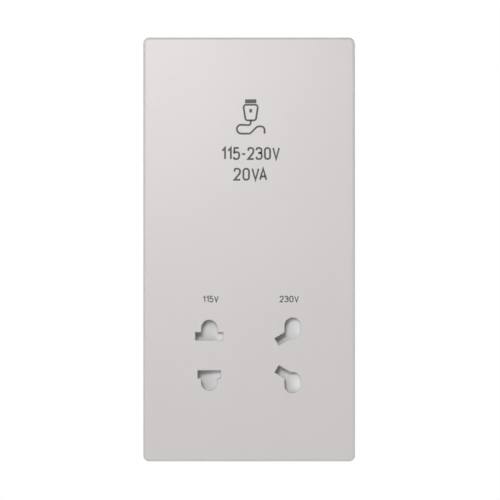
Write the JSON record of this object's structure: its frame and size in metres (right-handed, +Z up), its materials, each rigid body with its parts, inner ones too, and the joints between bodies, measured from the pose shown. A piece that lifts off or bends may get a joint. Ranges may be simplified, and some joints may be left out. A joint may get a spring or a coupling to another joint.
{
  "type": "shaver socket",
  "caption": "Tall flush dual-voltage shaver socket: plain cover plate with shuttered pin holes, steel yoke and an isolating transformer in a stepped rear housing.",
  "frame": {"origin": "midpoint between the two box-fixing holes, in the rear face of the mounting yoke", "axes": "+Z up along the plate's long side, +Y into the wall, the front faces -Y"},
  "size_m": [0.0704, 0.0535, 0.141],
  "materials": {
    "cover_plastic": "fine satin",
    "zinc_steel": "zinc plated",
    "body_plastic": "satin",
    "shutter_plastic": "satin",
    "housing_plastic": "satin, glass filled",
    "contact_bronze": "bright",
    "spring_steel": "drawn wire",
    "switch_plastic": "satin",
    "plunger_plastic": "satin",
    "core_steel": "varnished sheets",
    "bobbin_plastic": "satin",
    "copper_wire": "enamelled",
    "tape_film": "film",
    "cutout_case": "satin",
    "screw_steel": "zinc plated",
    "terminal_brass": "machined",
    "block_plastic": "satin",
    "lead_brown": "smooth sleeving",
    "lead_blue": "smooth sleeving",
    "lead_red": "smooth sleeving",
    "lead_black": "smooth sleeving"
  },
  "bodies": {
    "frame": {"cover_plate": "cover_plastic", "mounting_yoke": "zinc_steel", "socket_body": "body_plastic", "shutter_frame": "body_plastic", "contact_retainer": "body_plastic", "contact_115_upper": "contact_bronze", "contact_115_lower": "contact_bronze", "contact_230_upper": "contact_bronze", "contact_230_lower": "contact_bronze", "shutter_spring_115": "spring_steel", "shutter_spring_230": "spring_steel", "microswitch_115": "switch_plastic", "microswitch_230": "switch_plastic", "switch_dowels": "screw_steel", "transformer_core": "core_steel", "bobbin": "bobbin_plastic", "primary_winding": "copper_wire", "secondary_winding": "copper_wire", "winding_tape": "tape_film", "thermal_cutout": "cutout_case", "lead_live_115": "lead_brown", "lead_live_230": "lead_brown", "lead_cutout_in": "lead_brown", "lead_cutout_out": "lead_brown", "lead_switch_link": "lead_brown", "lead_neutral": "lead_blue", "lead_secondary_115": "lead_red", "lead_secondary_230": "lead_red", "lead_secondary_common": "lead_black", "lead_contact_link": "lead_black", "rear_housing": "housing_plastic", "housing_screws": "screw_steel", "core_screws": "screw_steel", "terminal_block": "block_plastic", "block_screw": "screw_steel", "terminal_live": "terminal_brass", "terminal_neutral": "terminal_brass", "earth_terminal": "terminal_brass", "terminal_screws": "screw_steel"},
    "shutter_115_body": {"shutter_115": "shutter_plastic"},
    "shutter_230_body": {"shutter_230": "shutter_plastic"},
    "plunger_115_body": {"plunger_115": "plunger_plastic"},
    "plunger_230_body": {"plunger_230": "plunger_plastic"}
  },
  "joints": [
    {"name": "shutter_115_slide", "type": "slide", "parent": "frame", "child": "shutter_115_body", "axis": [1, 0, 0], "range_m": [0, 0.0098], "stiffness_N_per_m": 60, "springref_m": -0.005, "deforming": ["shutter_spring_115"]},
    {"name": "shutter_230_slide", "type": "slide", "parent": "frame", "child": "shutter_230_body", "axis": [1, 0, 0], "range_m": [0, 0.00914], "stiffness_N_per_m": 60, "springref_m": -0.005, "deforming": ["shutter_spring_230"]},
    {"name": "plunger_115_press", "type": "slide", "parent": "frame", "child": "plunger_115_body", "axis": [0, 0, 1], "range_m": [0, 0.001]},
    {"name": "plunger_230_press", "type": "slide", "parent": "frame", "child": "plunger_230_body", "axis": [0, 0, 1], "range_m": [0, 0.001]}
  ],
  "couplings": [
    {"joint": "plunger_115_press", "follows": "shutter_115_slide", "ratio": 0.10204},
    {"joint": "plunger_230_press", "follows": "shutter_230_slide", "ratio": 0.10944}
  ]
}
